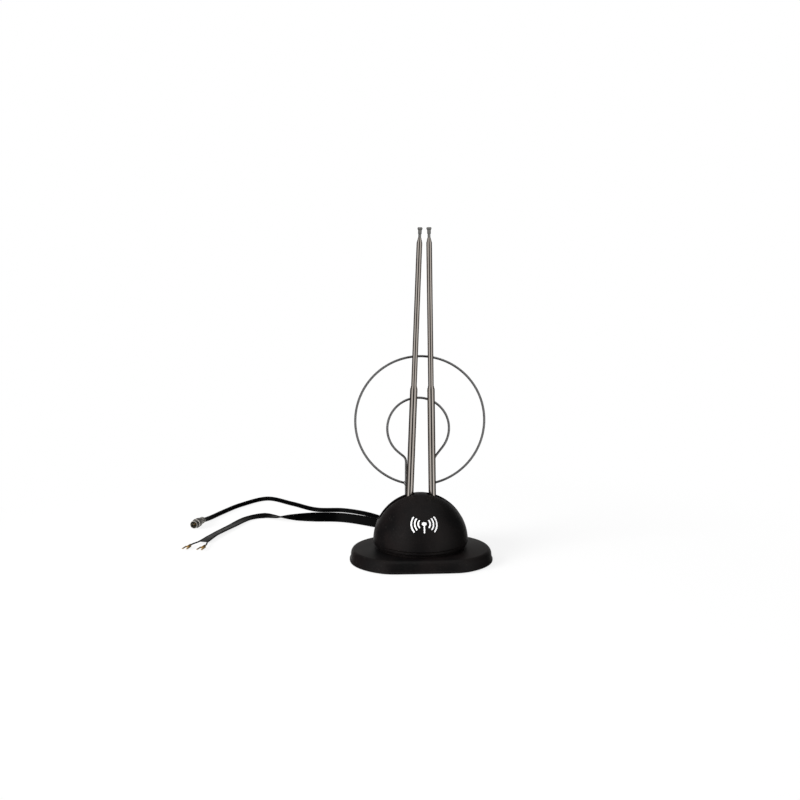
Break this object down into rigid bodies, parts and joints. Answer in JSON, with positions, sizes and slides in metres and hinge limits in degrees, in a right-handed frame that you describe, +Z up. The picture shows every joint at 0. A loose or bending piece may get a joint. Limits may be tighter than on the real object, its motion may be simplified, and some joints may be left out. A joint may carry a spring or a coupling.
{
  "type": "rabbit ears antenna",
  "caption": "Indoor television antenna with swinging telescopic rods and fixed wire loops on a black domed, weighted base, with coaxial and flat twin-lead tails.",
  "frame": {"origin": "on the dome's vertical axis, at the table the feet stand on", "axes": "+Z up, +X to the right seen from the front, and the straight front edge of the base faces -Y"},
  "size_m": [0.3496, 0.3451, 0.3535],
  "materials": {
    "black_plastic": "satin moulded black, finely textured",
    "dark_plastic": "matt moulded black",
    "rubber": "matt black rubber",
    "cast_iron": "rough as cast, dark",
    "zinc_steel": "zinc-plated steel",
    "plug_nickel": "nickel-plated",
    "rod_nickel": "drawn brass tube, nickel-plated, warm and polished",
    "loop_wire": "darkened steel wire",
    "brass": "bright brass",
    "phenolic": "brown laminated board",
    "ferrite": "dark ceramic",
    "enamelled_copper": "enamelled copper wire",
    "red_insulation": "red PVC",
    "white_insulation": "off-white PVC",
    "cable_jacket": "glossy black PVC"
  },
  "bodies": {
    "base": {"base_shell": "black_plastic", "bottom_cover": "dark_plastic", "ballast_plate": "cast_iron", "cover_screw_1": "zinc_steel", "cover_screw_2": "zinc_steel", "cover_screw_3": "zinc_steel", "rubber_foot_1": "rubber", "rubber_foot_2": "rubber", "rubber_foot_3": "rubber", "rubber_foot_4": "rubber", "dome_shell": "black_plastic", "cable_grommet": "rubber", "dome_screw_1": "zinc_steel", "dome_screw_2": "zinc_steel", "terminal_board": "phenolic", "board_screw_front": "zinc_steel", "board_screw_back": "zinc_steel", "rod_bracket_left": "zinc_steel", "bracket_rivet_left": "brass", "pivot_screw_left": "zinc_steel", "spring_washer_left": "zinc_steel", "pivot_nut_left": "zinc_steel", "rod_bracket_right": "zinc_steel", "bracket_rivet_right": "brass", "pivot_screw_right": "zinc_steel", "spring_washer_right": "zinc_steel", "pivot_nut_right": "zinc_steel", "loop_outer_ring": "loop_wire", "loop_inner_ring": "loop_wire", "loop_socket": "dark_plastic", "loop_sleeve_left": "brass", "loop_sleeve_right": "brass", "balun_core": "ferrite", "balun_winding": "enamelled_copper", "rod_wire_left": "red_insulation", "rod_wire_right": "red_insulation", "loop_wire_left": "white_insulation", "loop_wire_right": "white_insulation", "coax_cable": "cable_jacket", "coax_plug_body": "plug_nickel", "coax_plug_pin": "brass", "twin_lead": "cable_jacket", "spade_lug_1": "brass", "spade_lug_2": "brass"},
    "left_rod": {"rod_eye_left": "zinc_steel", "rod_tube_1_left": "rod_nickel"},
    "left_tube_2": {"rod_tube_2_left": "rod_nickel"},
    "left_tube_3": {"rod_tube_3_left": "rod_nickel"},
    "left_tube_4": {"rod_tube_4_left": "rod_nickel"},
    "left_tube_5": {"rod_tube_5_left": "rod_nickel"},
    "left_tip": {"tip_rod_left": "rod_nickel", "tip_cap_left": "rod_nickel"},
    "right_rod": {"rod_eye_right": "zinc_steel", "rod_tube_1_right": "rod_nickel"},
    "right_tube_2": {"rod_tube_2_right": "rod_nickel"},
    "right_tube_3": {"rod_tube_3_right": "rod_nickel"},
    "right_tube_4": {"rod_tube_4_right": "rod_nickel"},
    "right_tube_5": {"rod_tube_5_right": "rod_nickel"},
    "right_tip": {"tip_rod_right": "rod_nickel", "tip_cap_right": "rod_nickel"}
  },
  "joints": [
    {"name": "left_rod_swing", "type": "hinge", "parent": "base", "child": "left_rod", "pos_m": [-0.0135, 0, 0.021], "axis": [0, -1, 0], "range_deg": [-0.3, 50.1]},
    {"name": "left_tube_2_slide", "type": "slide", "parent": "left_rod", "child": "left_tube_2", "axis": [0.0366, 0, 0.9993], "range_m": [0, 0.148]},
    {"name": "left_tube_3_slide", "type": "slide", "parent": "left_tube_2", "child": "left_tube_3", "axis": [0.0366, 0, 0.9993], "range_m": [-0.15, 0]},
    {"name": "left_tube_4_slide", "type": "slide", "parent": "left_tube_3", "child": "left_tube_4", "axis": [0.0366, 0, 0.9993], "range_m": [0, 0.152]},
    {"name": "left_tube_5_slide", "type": "slide", "parent": "left_tube_4", "child": "left_tube_5", "axis": [0.0366, 0, 0.9993], "range_m": [0, 0.154]},
    {"name": "left_tip_slide", "type": "slide", "parent": "left_tube_5", "child": "left_tip", "axis": [0.0366, 0, 0.9993], "range_m": [0, 0.156]},
    {"name": "right_rod_swing", "type": "hinge", "parent": "base", "child": "right_rod", "pos_m": [0.0135, 0, 0.021], "axis": [0, 1, 0], "range_deg": [-0.5, 48.95]},
    {"name": "right_tube_2_slide", "type": "slide", "parent": "right_rod", "child": "right_tube_2", "axis": [-0.0166, 0, 0.9999], "range_m": [0, 0.148]},
    {"name": "right_tube_3_slide", "type": "slide", "parent": "right_tube_2", "child": "right_tube_3", "axis": [-0.0166, 0, 0.9999], "range_m": [-0.15, 0]},
    {"name": "right_tube_4_slide", "type": "slide", "parent": "right_tube_3", "child": "right_tube_4", "axis": [-0.0166, 0, 0.9999], "range_m": [0, 0.152]},
    {"name": "right_tube_5_slide", "type": "slide", "parent": "right_tube_4", "child": "right_tube_5", "axis": [-0.0166, 0, 0.9999], "range_m": [0, 0.154]},
    {"name": "right_tip_slide", "type": "slide", "parent": "right_tube_5", "child": "right_tip", "axis": [-0.0166, 0, 0.9999], "range_m": [0, 0.156]}
  ]
}
